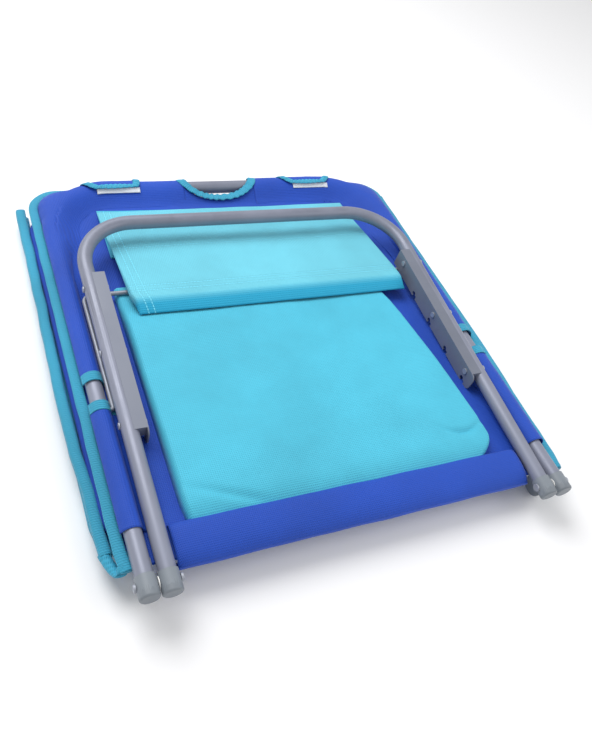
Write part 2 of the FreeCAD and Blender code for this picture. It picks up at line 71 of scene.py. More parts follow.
class Nodes:
    """Short calls for building one material's node tree."""

    def __init__(self, name):
        self.mat = bpy.data.materials.new(name)
        self.mat.use_nodes = True
        self.tree = self.mat.node_tree
        self.shader = self.tree.nodes["Principled BSDF"]

    def add(self, kind, **values):
        node = self.tree.nodes.new(kind)
        for key, value in values.items():
            setattr(node, key, value)
        return node

    def link(self, a, b):
        self.tree.links.new(a, b)

    def math(self, op, a, b=None):
        node = self.add("ShaderNodeMath", operation=op)
        for socket, value in zip(node.inputs, (a, b)):
            if value is None:
                continue
            if isinstance(value, (int, float)):
                socket.default_value = value
            else:
                self.link(value, socket)
        return node.outputs[0]

    def noise(self, vector, scale, detail=3.0, rough=0.5):
        node = self.add("ShaderNodeTexNoise")
        node.inputs["Scale"].default_value = scale
        node.inputs["Detail"].default_value = detail
        node.inputs["Roughness"].default_value = rough
        self.link(vector, node.inputs["Vector"])
        return node.outputs["Fac"]

    def ramp(self, factor, stops):
        node = self.add("ShaderNodeValToRGB")
        ramp = node.color_ramp
        while len(ramp.elements) < len(stops):
            ramp.elements.new(0.5)
        for element, (place, colour) in zip(ramp.elements, stops):
            element.position = place
            element.color = (*colour, 1.0)
        self.link(factor, node.inputs[0])
        return node.outputs[0]

    def mix(self, factor, a, b, mode="MIX"):
        node = self.add("ShaderNodeMix", data_type="RGBA", blend_type=mode)
        for socket, value in zip((node.inputs[0], node.inputs[6], node.inputs[7]),
                                 (factor, a, b)):
            if isinstance(value, (int, float)):
                socket.default_value = value
            elif isinstance(value, tuple):
                socket.default_value = (*value, 1.0)
            else:
                self.link(value, socket)
        return node.outputs[2]

    def bump(self, height, strength, distance, under=None):
        node = self.add("ShaderNodeBump")
        node.inputs["Strength"].default_value = strength
        node.inputs["Distance"].default_value = distance
        self.link(height, node.inputs["Height"])
        if under is not None:
            self.link(under, node.inputs["Normal"])
        return node.outputs[0]

    def set(self, **values):
        for key, value in values.items():
            self.shader.inputs[key.replace("_", " ")].default_value = value

    def wave(self, axis_value, pitch):
        """0 to 1 ripple of a coordinate in metres."""
        turn = self.math("MULTIPLY", axis_value, 2 * math.pi / pitch)
        return self.math("MULTIPLY_ADD", self.math("SINE", turn), 0.5)


def shade(colour, k):
    """A colour made darker or lighter by a factor."""
    return tuple(min(1.0, c * k) for c in colour)


def cloth(name, colour, pitch=0.0022, depth=0.0005, stitches=(), ribs=False,
          side_stitches=(), turn=None):
    """Plain woven cloth or ribbed tape; stitches are distances across, in metres.

    turn is (from, to, colour): past a fold the cloth shows its shaded colour.
    """
    n = Nodes(name)
    place = n.add("ShaderNodeTexCoord")
    split = n.add("ShaderNodeSeparateXYZ")
    n.link(place.outputs["Object"], split.inputs[0])
    uv = n.add("ShaderNodeUVMap", uv_map="UVMap")
    flat = n.add("ShaderNodeSeparateXYZ")
    n.link(uv.outputs[0], flat.inputs[0])
    if ribs:
        warp = n.wave(flat.outputs[0], pitch)
        weft = n.wave(n.math("ADD", flat.outputs[0], flat.outputs[1]), pitch * 0.7)
    else:
        warp = n.wave(n.math("ADD", split.outputs[0], split.outputs[2]), pitch)
        weft = n.wave(split.outputs[1], pitch)
    weave = n.math("MULTIPLY", warp, weft)
    broad = n.noise(place.outputs["Object"], 9.0, 4.0)
    fine = n.noise(place.outputs["Object"], 900.0, 2.0)
    base = n.ramp(broad, [(0.3, shade(colour, 0.86)), (0.7, shade(colour, 1.1))])
    worn = n.mix(n.math("MULTIPLY", weave, 0.42), base, shade(colour, 0.5))
    tint = n.mix(n.math("MULTIPLY", fine, 0.16), worn, shade(colour, 1.7))
    if turn:
        past = n.add("ShaderNodeMapRange")
        past.inputs["From Min"].default_value = turn[0]
        past.inputs["From Max"].default_value = turn[1]
        n.link(flat.outputs[1], past.inputs["Value"])
        # painted shade: past the fold the colour is mixed towards the given turn colour
        tint = n.mix(n.math("MULTIPLY", past.outputs[0], 0.88), tint, turn[2])
    height = n.math("ADD", weave, n.math("MULTIPLY", fine, 0.5))
    mask = None
    rows = [(1, row) for row in stitches] + [(0, row) for row in side_stitches]
    for axis, row in rows:
        off = n.math("ABSOLUTE", n.math("SUBTRACT", flat.outputs[axis], row))
        line = n.math("LESS_THAN", off, 0.0007)
        dash = n.math("FRACT", n.math("MULTIPLY", flat.outputs[1 - axis], 1 / 0.0042))
        thread = n.math("MULTIPLY", line, n.math("LESS_THAN", dash, 0.72))
        mask = thread if mask is None else n.math("MAXIMUM", mask, thread)
        groove = n.math("LESS_THAN", off, 0.0016)
        height = n.math("SUBTRACT", height, n.math("MULTIPLY", groove, 1.6))
    if mask is not None:
        tint = n.mix(mask, tint, shade(colour, 1.3))
        height = n.math("ADD", height, n.math("MULTIPLY", mask, 2.4))
    n.link(tint, n.shader.inputs["Base Color"])
    creases = n.noise(place.outputs["Object"], 34.0, 3.0, 0.6)
    low = n.bump(creases, 0.35, 0.0022)
    n.link(n.bump(height, 0.75, depth, low), n.shader.inputs["Normal"])
    rough = n.ramp(fine, [(0.2, (0.5, 0.5, 0.5)), (0.8, (0.72, 0.72, 0.72))])
    n.link(rough, n.shader.inputs["Roughness"])
    n.set(Sheen_Weight=0.1, Sheen_Roughness=0.4, Specular_IOR_Level=0.32)
    return n.mat


def paint(name, colour, metallic, rough, grain=700.0, strength=0.12, coat=0.0):
    """Painted, plated or moulded hard surface with small scuffs."""
    n = Nodes(name)
    place = n.add("ShaderNodeTexCoord")
    fine = n.noise(place.outputs["Object"], grain, 3.0)
    broad = n.noise(place.outputs["Object"], 24.0, 5.0, 0.65)
    tint = n.ramp(broad, [(0.32, shade(colour, 0.9)), (0.68, shade(colour, 1.08))])
    edge = n.add("ShaderNodeNewGeometry")
    wear = n.math("GREATER_THAN", edge.outputs["Pointiness"], 0.56)
    worn = n.mix(n.math("MULTIPLY", wear, 0.35), tint, shade(colour, 1.5))
    n.link(worn, n.shader.inputs["Base Color"])
    stops = [(0.3, (rough * 0.8,) * 3), (0.75, (min(1.0, rough * 1.3),) * 3)]
    n.link(n.ramp(broad, stops), n.shader.inputs["Roughness"])
    n.link(n.bump(fine, strength, 0.0002), n.shader.inputs["Normal"])
    n.set(Metallic=metallic, Coat_Weight=coat, Coat_Roughness=0.12)
    return n.mat


BLUE = (0.013, 0.070, 0.46)
SKY = (0.038, 0.34, 0.52)
AQUA = (0.072, 0.49, 0.68)
# LID_TOP_PAINTED_LIGHT: the bag cloth made lighter for the lid, painted light on its
# upward-facing top
LID_TOP_PAINTED_LIGHT = (0.145, 0.55, 0.70)
# LIP_PAINTED_SHADE: the lid cloth darker and bluer on its front lip, painted shade of the
# face that turns down
LIP_PAINTED_SHADE = (0.003, 0.37, 0.62)

blue = cloth("blue_cloth", BLUE)
blue_seam = cloth("blue_seamed", BLUE, stitches=(0.004, 0.009))
tape = cloth("sky_tape", SKY, pitch=0.0028, depth=0.0007, stitches=(0.0022,), ribs=True)
aqua = cloth("bag_cloth", AQUA, pitch=0.0024, depth=0.0005)
aqua_hem = cloth("bag_hem", AQUA, pitch=0.0024, depth=0.0005, stitches=(0.090,),
                 side_stitches=(0.010,))
aqua_lid = cloth("bag_lid_cloth", LID_TOP_PAINTED_LIGHT, pitch=0.0024, depth=0.0005,
                 stitches=(0.088, 0.172, 0.182), side_stitches=(0.029, 0.037),
                 turn=(0.192, 0.204, LIP_PAINTED_SHADE))
hook = cloth("hook_tape", (0.78, 0.82, 0.88), pitch=0.0016, depth=0.0006)
silver = paint("silver_paint", (0.215, 0.23, 0.295), 0.25, 0.46, 900.0, 0.05, 0.08)
plastic = paint("grey_plastic", (0.19, 0.215, 0.245), 0.0, 0.45, 1500.0, 0.2)
rack = paint("rack_grey", (0.155, 0.17, 0.215), 0.15, 0.46)
steel = paint("bright_steel", (0.33, 0.35, 0.40), 0.5, 0.5)
nylon = paint("white_nylon", (0.86, 0.86, 0.84), 0.0, 0.35)

SLOTS = {"silver_paint": silver, "grey_plastic": plastic, "rack_grey": rack,
         "bright_steel": steel, "white_nylon": nylon}
slot_of = {part["node"]: part["material_slot"] for part in frame["record"]["subparts"]}
for node, obj in frame["nodes"].items():
    finish = SLOTS.get(slot_of.get(node))
    if finish:
        for slot in obj.material_slots:
            slot.material = finish

# -------------------------------------------------------------- mesh builders


def lerp(a, b, t):
    """The value a share t of the way from a to b."""
    return a + (b - a) * t


def wrinkle(x, y, scale, seed=0.0):
    """Smooth unevenness of cloth, about -1 to 1, whose bumps are scale mm across."""
    return noise.noise(Vector((x / scale, y / scale, seed)))


def make(name, verts, faces, uvs, material, body, swaps=()):
    """Turn points in millimetres into a smooth piece that rides on a body."""
    mesh = bpy.data.meshes.new(name)
    mesh.from_pydata([at(*v) for v in verts], [], faces)
    if uvs:
        layer = mesh.uv_layers.new(name="UVMap")
        for loop in mesh.loops:
            layer.data[loop.index].uv = uvs[loop.vertex_index]
    mesh.materials.append(material)
    mesh.polygons.foreach_set("use_smooth", [True] * len(mesh.polygons))
    mesh.update()
    obj = bpy.data.objects.new(name, mesh)
    bpy.context.scene.collection.objects.link(obj)
    if body:
        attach(obj, body)
    if swaps:
        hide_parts(*swaps)
    return obj


def surface(name, point, nu, nv, material, body, swaps=(), loop=False,
            size=(1.0, 1.0), ends=False):
    """A grid of points point(u, v), u and v from 0 to 1; loop closes it in v."""
    rows = nv if loop else nv + 1
    verts, uvs, faces = [], [], []
    for i in range(nu + 1):
        for j in range(rows):
            u, v = i / nu, j / nv
            verts.append(point(u, v))
            uvs.append((u * size[0], v * size[1]))
    for i in range(nu):
        for j in range(nv):
            k = (j + 1) % rows
            faces.append((i * rows + j, i * rows + k,
                          (i + 1) * rows + k, (i + 1) * rows + j))
    if ends and loop:
        faces.append(tuple(range(rows))[::-1])
        faces.append(tuple(nu * rows + j for j in range(rows)))
    return make(name, verts, faces, uvs, material, body, swaps)


def thicken(obj, thickness, offset=0.0):
    """Give a sheet its thickness in millimetres."""
    mod = obj.modifiers.new("Thickness", "SOLIDIFY")
    mod.thickness = thickness / 1000
    mod.offset = offset
    return obj


def length_of(path):
    """Length of a polyline."""
    return sum((b - a).length for a, b in zip(path, path[1:]))


def walk(path):
    """A function of 0 to 1 that gives the point and direction along a polyline."""
    steps = [0.0]
    for a, b in zip(path, path[1:]):
        steps.append(steps[-1] + (b - a).length)
    total = steps[-1]

    def along(u):
        goal = min(max(u, 0.0), 1.0) * total
        low, high = 0, len(steps) - 2
        while low < high:
            middle = (low + high + 1) // 2
            if steps[middle] <= goal:
                low = middle
            else:
                high = middle - 1
        a, b = path[low], path[low + 1]
        reach = (goal - steps[low]) / max(steps[low + 1] - steps[low], 1e-9)
        return a.lerp(b, reach), (b - a).normalized()

    return along


def arc(cx, cy, r, start, end, count=14):
    """Points on a circle, from one angle in degrees to another."""
    turn = [math.radians(start + (end - start) * n / count) for n in range(count + 1)]
    return [Vector((cx + r * math.cos(t), cy + r * math.sin(t), 0)) for t in turn]


def band(name, path, profile, material, body, swaps=(), step=3.0, shape=None):
    """A closed cross-section, (outwards, up) in millimetres, swept along a path."""
    along = walk(path)
    total = length_of(path)
    count = len(profile)
    girth = sum(math.dist(a, b) for a, b in zip(profile, profile[1:] + profile[:1]))

    def point(u, v):
        middle, heading = along(u)
        side = Vector((-heading.y, heading.x, 0))
        out, up = profile[int(round(v * count)) % count]
        if shape:
            out, up = shape(u * total, out, up)
        p = middle + side * out
        return (p.x, p.y, up)

    return surface(name, point, max(4, int(total / step)), count, material, body,
                   swaps, True, (total / 1000, girth / 1000), ends=True)


def pillow_profile(width, low, high, count=20, power=2.6):
    """A flattened round cross-section whose outer edge is at 0."""
    points = []
    for n in range(count):
        angle = 2 * math.pi * n / count
        c, s = math.cos(angle), math.sin(angle)
        x = math.copysign(abs(c) ** (2 / power), c)
        z = math.copysign(abs(s) ** (2 / power), s)
        points.append((-width / 2 + x * width / 2, (low + high) / 2 + z * (high - low) / 2))
    return points


def outline(half, low, high, r, gap=None):
    """A rounded rectangle, clockwise from the middle of its far side or a gap there."""
    left, right = gap if gap else (0.0, 0.0)
    path = [Vector((right, high, 0))]
    path += arc(half - r, high - r, r, 90, 0)
    path += arc(half - r, low + r, r, 0, -90)
    path += arc(r - half, low + r, r, -90, -180)
    path += arc(r - half, high - r, r, 180, 90)
    path.append(Vector((left, high, 0)))
    return [p for n, p in enumerate(path) if n == 0 or (p - path[n - 1]).length > 1e-4]


def smooth_line(points, rounds=3):
    """Corner cutting of an open line of 2D or 3D points."""
    for _ in range(rounds):
        cut = [points[0]]
        for a, b in zip(points, points[1:]):
            cut.append(tuple(0.75 * p + 0.25 * q for p, q in zip(a, b)))
            cut.append(tuple(0.25 * p + 0.75 * q for p, q in zip(a, b)))
        points = cut + [points[-1]]
    return points


# ------------------------------------------------------------- backrest cloth

GRIP_X, GRIP_HALF, GRIP_LOW = 0.0, 52.0, 594.0      # handle opening
GRIP_RISE = 34.0                                    # from its lowest point to its ends
BAR_Y, BEND_X, BEND_R = 612.5, 172.0, 90.0          # middle line of the backrest tube
LEG_X, BEND_Y = BEND_X + BEND_R, BAR_Y - BEND_R
CLOTH_R = 10.9                                      # outside of the cloth on the tube
PANEL_Z, SLOPE = -6.2, 40.0                         # panel height, run of the slope to it
PANEL_START, PANEL_END = 22.0, 606.0
SLEEVE_START, CUFF_LOW, CUFF_HIGH, CUFF_WIDE = 59.0, 209.0, 252.0, 13.0


def grip_edge(x, grow):
    """Lower edge of the handle opening at x, or None outside it."""
    half, low = GRIP_HALF + grow, GRIP_LOW - grow
    across = abs(x - GRIP_X) / half
    if across >= 1:
        return None
    return low + (1 - (1 - across ** 2.2) ** 0.5) * GRIP_RISE


def slope(out):
    """Height of the cloth that comes down from the tube to the panel."""
    fall = 1 + math.cos(math.pi * min(1.0, max(0.0, out) / SLOPE))
    return PANEL_Z + (CLOTH_R - PANEL_Z) / 2 * fall


def spread(y):
    """How far the cloth slopes gently, 1, or turns tightly round the tube, 0."""
    tight_until, change = 425, 85
    t = max(0.0, min(1.0, (y - tight_until) / change))
    return t * t * (3 - 2 * t)


def inside_tube(x, y):
    """Distance of a point of the panel from the backrest tube's middle line."""
    dx, dy = abs(x) - BEND_X, y - BEND_Y
    if dx <= 0:
        return BAR_Y - y
    if dy <= 0:
        return LEG_X - abs(x)
    return BEND_R - math.hypot(dx, dy)


def panel_point(u, v):
    """The back panel: nearly flat, rising to the tube at its far end."""
    x = LEG_X * (2 * u - 1)
    top = min(grip_edge(x, 9) or PANEL_END, PANEL_END)
    y = PANEL_START + (top - PANEL_START) * v
    z = -6.6 + 1.1 * wrinkle(x, y, 90, 1.0) + 0.5 * wrinkle(x, y, 28, 2.0)
    z += 2.0 * max(0.0, (abs(x) - 232) / 30) ** 2
    inside = inside_tube(x, y)
    near = 0.0
    if inside > 3 or abs(x) < BEND_X:
        near = (slope(inside) - PANEL_Z) * spread(y)
    return (x, y, z + max(0.0, near - 0.4))


back_cloth = surface("back_cloth", panel_point, 150, 170, blue, "backrest",
                     ("back_panel",), size=(0.524, 0.58))
thicken(back_cloth, 1.0)


EDGE = 273.5        # inner side of the mat's edge tape
WIDER = 5.5         # the right-hand tape lies this much further out
TIGHT = 1.75        # how far the cloth goes round the tube where it is tight, radians
MAT_TOP, MAT_CORNER = 622.0, 44.0


def edge_distance(p, side):
    """How far the tape's inner edge lies from a point of the tube, going sideways."""
    tape_width = 12
    far, corner = MAT_TOP - tape_width, MAT_CORNER - tape_width
    edge = EDGE + (WIDER if p.x > 0 else 0)
    for step in range(1, 90):
        q = p + side * (step * 0.5)
        x, y = abs(q.x), q.y
        dx, dy = x - (edge - corner), y - (far - corner)
        if dx > 0 and dy > 0:
            outside = dx * dx + dy * dy > corner * corner
        else:
            outside = x > edge or y > far
        if outside:
            return step * 0.5
    return 15.0


def drape(name, path, seed, material, swaps, lift=0.0, step=2.5,
          turned=False):
    """Cloth cut flat = (along, across), from the taped edge over the tube to the panel."""
    along = walk(path)
    total = length_of(path)

    def point(u, v):
        middle, heading = along(u)
        side = Vector((-heading.y, heading.x, 0)) * (-1 if turned else 1)
        s = u * total
        pull = math.exp(-min(s, total - s) / 16)
        fold = wrinkle(s, 60 * v, 24, seed) * (0.45 + 0.8 * pull)
        r = CLOTH_R + lift
        if v < 0.36:
            t = 1 - v / 0.36
            width = max(edge_distance(middle, side), 13.0)
            out = width * t
            bulge = max(0.0, 1 - min(1.0, out / max(width, 15.2)) ** 2.3) ** 0.62
            z = -5.6 + lift + (r + 5.6 - lift) * bulge
            if out < 8:
                z = max(z, math.sqrt(r * r - out * out))
        else:
            t = (v - 0.36) / 0.64
            if t < 0.5:
                angle = t * 2 * TIGHT
                out, z = -r * math.sin(angle), r * math.cos(angle)
            else:
                k = (t - 0.5) * 2
                start = (-r * math.sin(TIGHT), r * math.cos(TIGHT))
                out = start[0] - 15 * k
                z = start[1] + (PANEL_Z + lift - start[1]) * (1 - (1 - k) ** 2.2)
            gentle = spread(middle.y)
            out = lerp(out, -SLOPE * t, gentle)
            under = 1.8 * max(0.0, (t - 0.86) / 0.14)
            z = lerp(z, slope(SLOPE * t) + lift - under, gentle)
        p = middle + side * out
        return (p.x, p.y, z + fold * 0.7)

    count = max(5, int(total / step))
    piece = surface(name, point, count, 52, material, "backrest", swaps,
                    size=(total / 1000, 0.07))
    return thicken(piece, 1.0, -1)


for side, sign in (("left", -1), ("right", 1)):
    leg = LEG_X * sign
    away = sign > 0
    low = [Vector((leg, SLEEVE_START, 0)), Vector((leg, CUFF_LOW + 1, 0))]
    drape("sleeve_lower_" + side, low, 3 + sign, blue,
          ("sleeve_low_" + side,), turned=away)
    corner = arc(sign * BEND_X, BEND_Y, BEND_R, 90 - 90 * sign, 90, 24)
    grip_end = GRIP_X + sign * (GRIP_HALF + 5)
    high = [Vector((leg, CUFF_HIGH + CUFF_WIDE - 1, 0))] + corner
    high.append(Vector((grip_end, BAR_Y, 0)))
    drape("sleeve_upper_" + side, high, 8 + sign, blue,
          ("sleeve_top_" + side,), turned=away)
    for name, start in (("low", CUFF_LOW), ("high", CUFF_HIGH)):
        strip = [Vector((leg, start, 0)), Vector((leg, start + CUFF_WIDE, 0))]
        drape("cuff_%s_%s" % (name, side), strip, start, tape,
              ("tape_%s_%s" % (name, side),), 0.9, 1.0, away)


def soft_edge(seed, lift=0.7, reach=0.8):
    """The slight waviness of a sewn edge, as a shape for band()."""
    def shape(s, out, up):
        return (out + reach * wrinkle(s, 0, 34, seed),
                up + lift * wrinkle(s, 9, 26, seed + 4))

    return shape


def side_edge(half, high, corner, low, end):
    """The left edge of a mat section, from the fold at the hinge end to its far end."""
    path = [Vector((-half + 3.5, low, 0)), Vector((-half + 1, low + 22, 0)),
            Vector((-half, low + 60, 0))]
    if corner:
        path += arc(corner - half, high - corner, corner, 180, 90)
    path.append(Vector((end, high, 0)))
    return path


def mirrored(path):
    """The same edge on the other side of the chair."""
    return [Vector((-p.x, p.y, 0)) for p in reversed(path)]


left_edge = side_edge(285.5, MAT_TOP, MAT_CORNER, 21, GRIP_X - GRIP_HALF - 8)
edge_profile = pillow_profile(13, -10.6, -4.4, power=3.0)
band("edge_tape_left", left_edge, edge_profile, tape, "backrest",
     ("mat_binding",), 2.5, soft_edge(5.0))
right_edge = mirrored([Vector((p.x - (WIDER if p.x < -240 else 0), p.y, 0))
                       for p in left_edge])
band("edge_tape_right", right_edge, edge_profile, tape, "backrest",
     ("mat_binding",), 2.5, soft_edge(6.0))

# The handle opening's tape: up over the tube at both ends, gathered where it bends.
grip = [Vector((GRIP_X - GRIP_HALF - 6.5, 623, 0))]
for n in range(49):
    x = GRIP_X - GRIP_HALF - 6.4 + (2 * GRIP_HALF + 12.8) * n / 48
    grip.append(Vector((x, min(grip_edge(x, 6.5) or 617, 617), 0)))
grip.append(Vector((GRIP_X + GRIP_HALF + 6.5, 623, 0)))
grip = [p for n, p in enumerate(grip) if n == 0 or (p - grip[n - 1]).length > 1e-3]
grip_total = length_of(grip)
grip_walk = walk(grip)


def over_bar(y):
    """Height of cloth that comes down from the top bar to the panel."""
    gap = y - BAR_Y
    if gap > 0:
        return math.sqrt(max(0.0, 11.6 ** 2 - gap ** 2))
    return slope(-gap) + 0.7


def gathers(s, out, up):
    """The small tucks of a tape that is sewn round a bend."""
    tuck = math.sin(s * 0.62 + 1.3 * math.sin(s * 0.11))
    strength = math.sin(math.pi * min(1.0, max(0.0, s / grip_total)))
    lift = over_bar(grip_walk(s / grip_total)[0].y)
    return (out + 0.6 * tuck * strength, up + lift + 0.5 * tuck * strength)


band("grip_tape", grip, [(a + 6.5, b) for a, b in pillow_profile(13, -1.3, 1.8)], tape,
     "backrest", ("handle_binding",), 1.2, gathers)

# ------------------------------------------------------------ head-pillow tabs


def bar_drop(x):
    """How far the top bar has curved down at x."""
    past = max(0.0, abs(x) - BEND_X)
    return BEND_R - math.sqrt(max(0.0, BEND_R ** 2 - past ** 2))


def run_along(points):
    """A function of 0 to 1 that gives the place along a line of 2D points, by length."""
    steps = [0.0]
    for a, b in zip(points, points[1:]):
        steps.append(steps[-1] + math.dist(a, b))

    def place(v):
        goal = min(max(v, 0.0), 1.0) * steps[-1]
        n = max(k for k in range(len(points) - 1) if steps[k] <= goal + 1e-9)
        t = (goal - steps[n]) / (steps[n + 1] - steps[n])
        a, b = points[n], points[n + 1]
        return lerp(a[0], b[0], t), lerp(a[1], b[1], t)

    return place


def strap_point(x0, x1, left_in, right_in):
    """A strap that comes over the top bar and tapers to a rounded lower edge."""
    line = smooth_line([(623.2, -9), (624.6, 0), (622.5, 8), (617, 12.6), (611, 13.6),
                        (606.5, 13.0), (602.6, 11.4)])
    over = run_along(line)

    def point(u, v):
        y, z = over(v)
        taper = max(0.0, (v - 0.4) / 0.6) ** 1.8
        x = (x0 + left_in * taper) * (1 - u) + (x1 - right_in * taper) * u
        lift = abs(2 * u - 1) ** 6 * v
        y += 1.2 * lift - bar_drop(x) + 0.5 * wrinkle(x, y, 30, 6.0)
        return (x, y, z + 0.4 * wrinkle(x, y, 17, x0) + 0.2 * lift)

    return point


def strap(side, x0, x1, left_in, right_in, strip):
    """A pillow tab with its tape round three sides and the hook strip below it."""
    inner = strap_point(x0, x1, left_in, right_in)
    thicken(surface("tab_" + side, inner, 60, 30, blue, "backrest",
                    ("pillow_tab_" + side,), size=(0.085, 0.04)), 0.9)
    route = [(0.045, 0.3 + 0.6 * n / 14) for n in range(15)]
    route += [(0.07 + 0.86 * n / 24, 0.94) for n in range(25)]
    route += [(0.955, 0.9 - 0.6 * n / 14) for n in range(15)]

    def hem_point(u, v):
        k = u * (len(route) - 1)
        n = min(int(k), len(route) - 2)
        a, b = route[n], route[n + 1]
        p = inner(a[0] + (b[0] - a[0]) * (k - n), a[1] + (b[1] - a[1]) * (k - n))
        q = inner(0.5, 0.35)
        angle = 2 * math.pi * v
        pull = Vector((q[0] - p[0], (q[1] - p[1]) * 1.4, 0)).normalized()
        wide, thick = 5.3 * math.cos(angle), 1.4 * math.sin(angle)
        ruffle = 0.35 * math.sin(k * 1.9)
        return (p[0] + pull.x * wide, p[1] + pull.y * wide, p[2] + 0.6 + thick + ruffle)

    surface("tab_tape_" + side, hem_point, 140, 14, tape, "backrest",
            loop=True, size=(0.16, 0.012), ends=True)

    def strip_point(u, v):
        x = strip[0] + (strip[1] - strip[0]) * u
        y = 603.6 - 7.2 * v
        z = slope(BAR_Y - y) + 1.5 + 0.2 * wrinkle(x, 0, 16, 2.0)
        return (x, y - bar_drop(x), z)

    thicken(surface("hook_" + side, strip_point, 40, 6, hook, "backrest",
                    ("hook_strip_" + side,), size=(0.08, 0.006)), 1.2)


strap("left", -208, -123, 19, 5, (-188, -125))
strap("right", 104, 197, 20, 17, (126, 188))

# -------------------------------------------------------------- hinge-end flap

FLAP = smooth_line([(60, -6.0), (59, 1.0), (55, 4.4), (46, 5.2), (34, 4.6), (22, 1.6),
                    (13.5, -4), (11.6, -10), (14, -15), (22, -16)])


def flap_point(u, v):
    """The cloth that folds round the hinge end, dipping at both its ends."""
    n = min(int(v * (len(FLAP) - 1)), len(FLAP) - 2)
    t = v * (len(FLAP) - 1) - n
    y = FLAP[n][0] + (FLAP[n + 1][0] - FLAP[n][0]) * t
    z = FLAP[n][1] + (FLAP[n + 1][1] - FLAP[n][1]) * t
    x = -226 + 452 * u
    end = max(0.0, (abs(x) - 214) / 12)
    z -= 3.0 * end ** 2 * (1 if z > -6 else 0)
    y += 0.9 * wrinkle(x, 20 * v, 60, 7.0)
    return (x, y, z + 0.7 * wrinkle(x, 30 * v, 44, 9.0))


fold_flap = surface("fold_flap", flap_point, 180, 60, blue_seam, "backrest",
                    ("hinge_flap",), size=(0.452, 0.075))
thicken(fold_flap, 1.0)

# ----------------------------------------------------------------- storage bag


def bag_edge(v):
    """Left and right edge of the bag's body from its bottom, 0, to its mouth, 1."""
    right = lerp(203, 176, max(0.0, min(1.0, (v - 0.12) / 0.7)) ** 1.6)
    round_off = max(0.0, 1 - v / 0.1)
    left = -206 + 4 * round_off ** 2
    return left, right - 38 * round_off ** 2


def bag_height(y):
    """Height of the bag's top: up from its bottom seam, down to its mouth."""
    rise = 1 - max(0.0, 1 - (y - 50) / 36) ** 2.4
    sink = max(0.0, min(1.0, (y - 322) / 58))
    return lerp(lerp(-6.0, 9.0, rise), 0.9, sink * sink * (3 - 2 * sink))


def pouch_point(u, v):
    """The bag's body, with a pleat at one lower corner and a pinch at the other."""
    left, right = bag_edge(v)
    y = 50 + 356 * v
    top = bag_height(y)
    edge = min(u, 1 - u) * (right - left)
    wall = min(1.0, edge / 6)
    z = lerp(-6.5, top, 1 - (1 - wall) ** 2.6)
    x = lerp(left, right, u)
    deep = min(1.0, (top + 6.5) / 12) * wall
    z += deep * (1.5 * wrinkle(x, y, 95, 11.0) + 0.7 * wrinkle(x, y, 33, 12.0))
    pleat = math.hypot((x - 168) / 26, (y - 92 - 0.012 * (x - 168) ** 2) / 4.5)
    z -= 4.6 * deep * math.exp(-pleat ** 2)
    pinch = math.hypot((x + 150) / 40, (y - 74 + 0.4 * (x + 150)) / 6)
    z -= 3.4 * deep * math.exp(-pinch ** 2)
    return (x, y + 2.0 * (1 - wall) * wrinkle(x, y, 40, 3.0), min(z, top + 1.6))


bag_pouch = surface("bag_pouch", pouch_point, 170, 150, aqua, "backrest",
                    ("bag_body",), size=(0.41, 0.356))
thicken(bag_pouch, 0.9, -1)


def hem_sheet_point(u, v):
    """The sheet that is sewn to the panel behind the lid."""
    x = lerp(-195, 200, u)
    top = lerp(569, 558, u)
    y = lerp(470, top, v)
    return (x, y, -4.6 + 0.7 * wrinkle(x, y, 50, 21.0) + 0.9 * v)


bag_hem = surface("bag_hem_cloth", hem_sheet_point, 110, 34, aqua_hem, "backrest",
                  ("bag_hem",), size=(0.395, 0.099))
thicken(bag_hem, 1.0)

LID = smooth_line([(560, 1.6), (520, 5.2), (440, 14.0), (378, 20.2), (366, 20.6),
                   (361, 19.2), (350, 12.2), (347.5, 9.6)], 3)
LID_REACH = sum(math.dist(a, b) for a, b in zip(LID, LID[1:]))
lid_line = run_along(LID)


def lid_point(u, v):
    """The lid: flat at its hinge, boxed towards its front, with a short side at each end."""
    y, z = lid_line(v)
    boxed = max(0.0, min(1.0, (520 - y) / 150))
    left = lerp(-196, -190, boxed) + 7 * max(0.0, (375 - y) / 28)
    right = lerp(197, 207, boxed)
    wall = 0.05
    if u < wall:
        x, drop = left, 1 - u / wall
    elif u > 1 - wall:
        x, drop = right, (u - 1 + wall) / wall
    else:
        x, drop = lerp(left, right, (u - wall) / (1 - 2 * wall)), 0.0
    depth = max(0.0, z - 8.9) * boxed
    side = -1 if u < 0.5 else 1
    x += side * 2.2 * math.sin(math.pi * drop) * boxed
    middle = 1 - abs(2 * u - 1) ** 4
    sag = middle * (1.3 * wrinkle(x, y, 110, 31.0) + 0.5 * wrinkle(x, y, 34, 32.0) - 0.6)
    return (x, y, z - depth * drop + sag * (1 if y > 366 else 0.4))


bag_flap = surface("bag_flap", lid_point, 190, 130, aqua_lid, "lid",
                   ("bag_lid",), size=(0.41, LID_REACH / 1000))
thicken(bag_flap, 0.9)

# --------------------------------------------------- padded sections and knee


PAD_INSET, SWELL = 1.4, 1.6        # how much smaller a pad starts, how far it may swell
VOXEL, PRESSURE, LAST_FRAME = 0.0048, 4, 12


